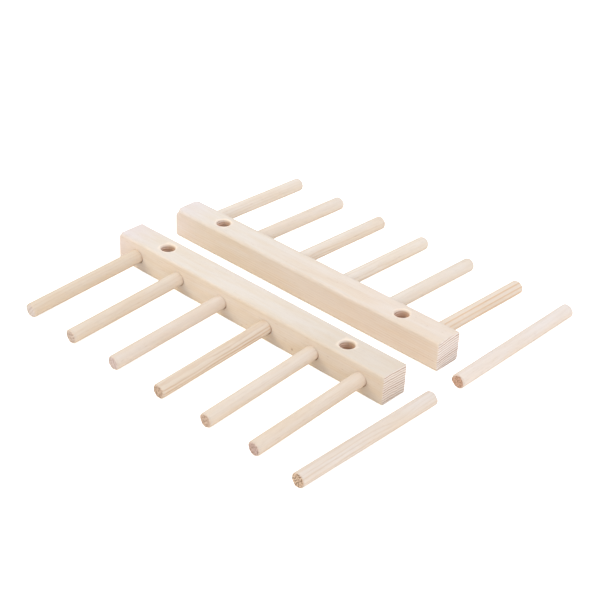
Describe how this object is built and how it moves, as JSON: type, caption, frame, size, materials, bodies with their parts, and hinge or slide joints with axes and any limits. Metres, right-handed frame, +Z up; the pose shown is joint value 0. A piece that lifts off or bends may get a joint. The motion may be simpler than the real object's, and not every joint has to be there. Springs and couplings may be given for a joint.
{
  "type": "knitting loom",
  "caption": "Wooden double rake loom for thick yarn, taken apart: pegged rails like combs, and loose spacer rods that set the gap between them.",
  "frame": {"origin": "middle of the whole laid-out set, on the table that it lies on", "axes": "+X along the rails towards the loose rods, +Y from the front comb to the rear comb, +Z up from the table"},
  "size_m": [0.3252, 0.3201, 0.026],
  "materials": {
    "rail_wood": "planed pine or spruce, bare and unvarnished",
    "peg_wood": "turned dowel, smooth and bare",
    "rod_wood": "turned dowel, smooth and bare"
  },
  "bodies": {
    "front_comb": {"front_rail": "rail_wood", "front_peg_1": "peg_wood", "front_peg_2": "peg_wood", "front_peg_3": "peg_wood", "front_peg_4": "peg_wood", "front_peg_5": "peg_wood", "front_peg_6": "peg_wood"},
    "rear_comb": {"rear_rail": "rail_wood", "rear_peg_1": "peg_wood", "rear_peg_2": "peg_wood", "rear_peg_3": "peg_wood", "rear_peg_4": "peg_wood", "rear_peg_5": "peg_wood", "rear_peg_6": "peg_wood"},
    "front_rod": {"front_spacer_rod": "rod_wood"},
    "rear_rod": {"rear_spacer_rod": "rod_wood"}
  },
  "joints": [
    {"name": "rear_comb_slide", "type": "slide", "parent": "front_comb", "child": "rear_comb", "axis": [0, 1, 0], "range_m": [-0.0373, 0.0517]},
    {"name": "front_rod_slide", "type": "slide", "parent": "front_comb", "child": "front_rod", "axis": [-0.0175, -0.9998, 0], "range_m": [0, 0.1425]},
    {"name": "rear_rod_slide", "type": "slide", "parent": "front_comb", "child": "rear_rod", "axis": [-0.0044, 1, 0], "range_m": [0, 0.1475]}
  ]
}
